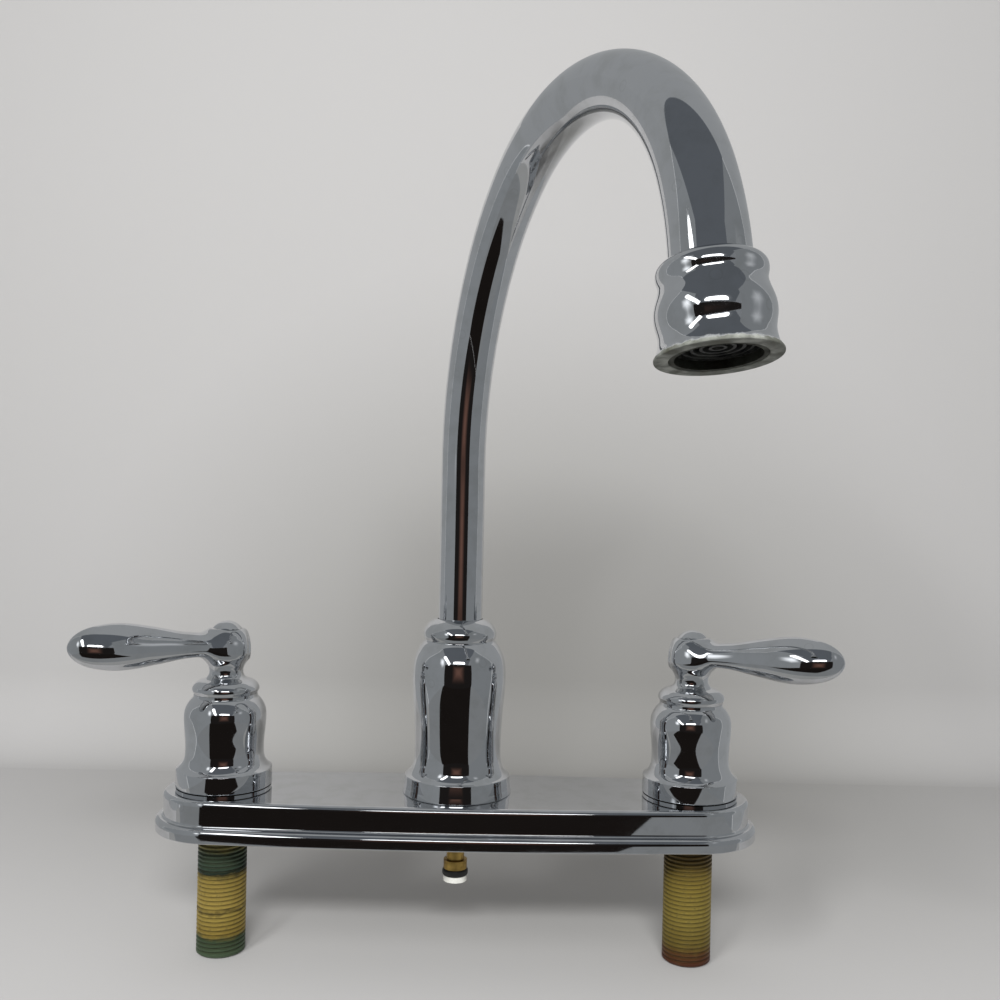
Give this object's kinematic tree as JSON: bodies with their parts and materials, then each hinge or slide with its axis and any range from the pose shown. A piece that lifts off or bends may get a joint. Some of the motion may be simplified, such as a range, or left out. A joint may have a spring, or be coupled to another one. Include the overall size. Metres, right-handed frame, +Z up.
{
  "type": "two handle kitchen faucet",
  "caption": "Chrome kitchen faucet with a high gooseneck spout that swivels and lever handles on an oval deck plate.",
  "frame": {"origin": "middle of the gasket face that rests on the sink deck, on the spout's swivel axis", "axes": "+Z up out of the deck along the swivel axis; +X to the right along the plate towards the cold handle; +Y to the back"},
  "size_m": [0.3132, 0.2122, 0.3509],
  "materials": {
    "chrome": "polished",
    "brass": "satin",
    "weathered_brass": "matte",
    "copper": "satin",
    "steel": "satin",
    "black_rubber": "matte",
    "white_plastic": "satin",
    "grey_plastic": "satin",
    "disc_ceramic": "gloss"
  },
  "bodies": {
    "deck_unit": {"deck_plate": "chrome", "deck_gasket": "black_rubber", "center_body": "brass", "center_locknut": "brass", "spout_bell": "chrome", "spout_bushing": "white_plastic", "spout_thrust_washer": "white_plastic", "spray_nipple": "brass", "spray_nipple_o_ring": "black_rubber", "spray_nipple_nose": "white_plastic", "diverter_cage": "white_plastic", "hot_valve_body": "weathered_brass", "hot_supply_tube": "copper", "hot_base_ring": "chrome", "hot_locknut": "brass", "hot_seat_seal": "black_rubber", "hot_fixed_disc": "disc_ceramic", "hot_cartridge_shell": "brass", "hot_cartridge_nut": "brass", "cold_valve_body": "weathered_brass", "cold_supply_tube": "copper", "cold_base_ring": "chrome", "cold_locknut": "brass", "cold_seat_seal": "black_rubber", "cold_fixed_disc": "disc_ceramic", "cold_cartridge_shell": "brass", "cold_cartridge_nut": "brass"},
    "spout": {"spout_tube": "chrome", "spout_insert": "brass", "spout_o_rings": "black_rubber", "outlet_bell": "chrome", "aerator_housing": "chrome", "aerator_insert": "grey_plastic", "aerator_screen": "steel", "aerator_washer": "black_rubber"},
    "hot_handle": {"hot_lever": "chrome", "hot_handle_bell": "chrome", "hot_plug_button": "chrome", "hot_handle_screw": "steel", "hot_spline_bush": "white_plastic", "hot_stem": "brass", "hot_stem_o_ring": "black_rubber", "hot_moving_disc": "disc_ceramic"},
    "cold_handle": {"cold_lever": "chrome", "cold_handle_bell": "chrome", "cold_plug_button": "chrome", "cold_handle_screw": "steel", "cold_spline_bush": "white_plastic", "cold_stem": "brass", "cold_stem_o_ring": "black_rubber", "cold_moving_disc": "disc_ceramic"},
    "diverter": {"diverter_plunger": "white_plastic"}
  },
  "joints": [
    {"name": "spout_swivel", "type": "hinge", "parent": "deck_unit", "child": "spout", "pos_m": [0, 0, 0.0626], "axis": [0, 0, 1], "continuous": true},
    {"name": "hot_handle_turn", "type": "hinge", "parent": "deck_unit", "child": "hot_handle", "pos_m": [-0.1016, 0, 0.0179], "axis": [0, 0, 1], "range_deg": [0, 90]},
    {"name": "cold_handle_turn", "type": "hinge", "parent": "deck_unit", "child": "cold_handle", "pos_m": [0.1016, 0, 0.0179], "axis": [0, 0, 1], "range_deg": [-90, 0]},
    {"name": "diverter_slide", "type": "slide", "parent": "deck_unit", "child": "diverter", "axis": [0, 0, 1], "range_m": [0, 0.003]}
  ]
}
